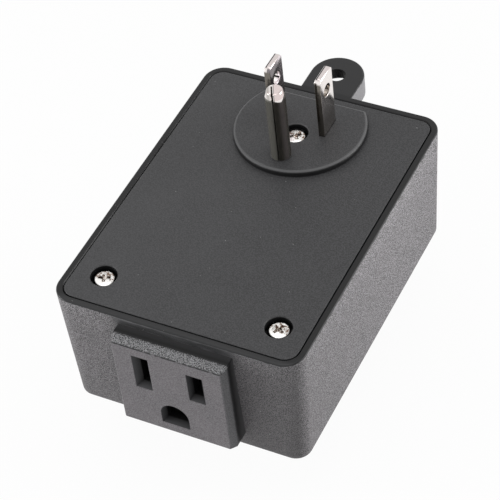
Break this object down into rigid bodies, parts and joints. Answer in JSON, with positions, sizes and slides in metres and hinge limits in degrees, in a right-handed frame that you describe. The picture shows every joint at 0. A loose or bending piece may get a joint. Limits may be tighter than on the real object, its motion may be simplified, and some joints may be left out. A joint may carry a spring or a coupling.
{
  "type": "fan speed controller",
  "caption": "Plug-in fan speed controller: boxy case with grounded plug and hanging ear at the back, grounded outlet on one end, speed knob and rocker switch on the front.",
  "frame": {"origin": "middle of the line between the two plug blades, on the face of the plug boss that meets the wall outlet", "axes": "+Z the way the prongs point, out of the back; +Y towards the hanging ear, away from the outlet block; +X to the right seen from behind with the ear up"},
  "size_m": [0.0606, 0.1002, 0.0707],
  "materials": {
    "case_plastic": "fine spark-eroded texture",
    "cover_plastic": "fine matte texture",
    "outlet_plastic": "textured face, smooth neck",
    "plated_steel": "bright plated",
    "plated_brass": "bright nickel plated",
    "contact_brass": "bare",
    "retainer_board": "pressed board",
    "dial_plastic": "satin printed plate",
    "knob_plastic": "satin",
    "pointer_white": "satin",
    "dark_steel": "blackened",
    "pot_can": "plated",
    "switch_plastic": "satin",
    "rocker_plastic": "satin",
    "board_laminate": "solder mask",
    "sink_aluminium": "mill",
    "component_black": "moulded",
    "ferrite": "sintered",
    "copper_wire": "enamelled copper",
    "film_yellow": "moulded box",
    "film_red": "dipped",
    "resistor_tan": "lacquered",
    "diac_blue": "lacquered",
    "fuse_ceramic": "glazed",
    "black_insulation": "extruded",
    "white_insulation": "extruded",
    "green_insulation": "extruded"
  },
  "bodies": {
    "case": {"case_shell": "case_plastic", "back_cover": "cover_plastic", "cover_screws": "plated_steel", "neutral_blade": "plated_brass", "hot_blade": "plated_brass", "ground_pin": "plated_brass", "plug_retainer": "retainer_board", "retainer_screws": "plated_steel", "outlet_housing": "outlet_plastic", "outlet_cap": "outlet_plastic", "neutral_contact": "contact_brass", "hot_contact": "contact_brass", "ground_contact": "contact_brass", "dial_plate": "dial_plastic", "potentiometer_body": "pot_can", "potentiometer_bushing": "contact_brass", "potentiometer_washer": "plated_steel", "potentiometer_nut": "plated_steel", "switch_body": "switch_plastic", "switch_terminals": "plated_brass", "circuit_board": "board_laminate", "board_screws": "plated_steel", "heat_sink": "sink_aluminium", "triac": "component_black", "triac_screw_and_nut": "plated_steel", "choke_core": "ferrite", "choke_winding": "copper_wire", "filter_capacitor": "film_yellow", "timing_capacitor": "film_red", "resistors": "resistor_tan", "diac": "diac_blue", "fuse": "fuse_ceramic", "line_lead": "black_insulation", "high_lead": "black_insulation", "board_lead": "black_insulation", "output_lead": "black_insulation", "neutral_lead": "white_insulation", "ground_lead": "green_insulation"},
    "knob": {"speed_knob": "knob_plastic", "knob_pointer": "pointer_white", "knob_set_screw": "dark_steel", "potentiometer_shaft": "pot_can"},
    "rocker": {"switch_rocker": "rocker_plastic"}
  },
  "joints": [
    {"name": "knob_turn", "type": "hinge", "parent": "case", "child": "knob", "pos_m": [0, -0.031, -0.0435], "axis": [0, 0, 1], "range_deg": [0, 300]},
    {"name": "rocker_tilt", "type": "hinge", "parent": "case", "child": "rocker", "pos_m": [-0.016, -0.0025, -0.0325], "axis": [1, 0, 0], "range_deg": [-12, 12]}
  ]
}
